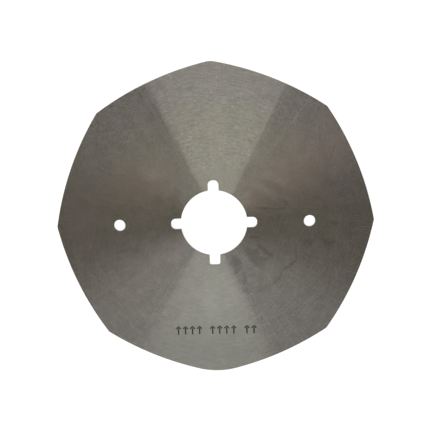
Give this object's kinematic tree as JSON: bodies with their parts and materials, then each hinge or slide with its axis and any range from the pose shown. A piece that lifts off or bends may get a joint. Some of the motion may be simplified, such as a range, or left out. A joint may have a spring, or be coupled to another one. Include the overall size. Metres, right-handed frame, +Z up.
{
  "type": "octagonal cutter blade",
  "caption": "Flat round-knife cutter blade with bowed cutting sides, a bevel ground on its underside, a notched drive bore and a pair of pin holes.",
  "frame": {"origin": "centre of the bore on the blade's flat underside", "axes": "+Z up through the thickness, out of the plain face that carries the orientation mark; X through the two pin holes; -Y towards the mark"},
  "size_m": [0.1, 0.0993, 0.001],
  "materials": {
    "ground_steel": "circular ground"
  },
  "bodies": {
    "root": {"blade": "ground_steel"}
  },
  "joints": []
}
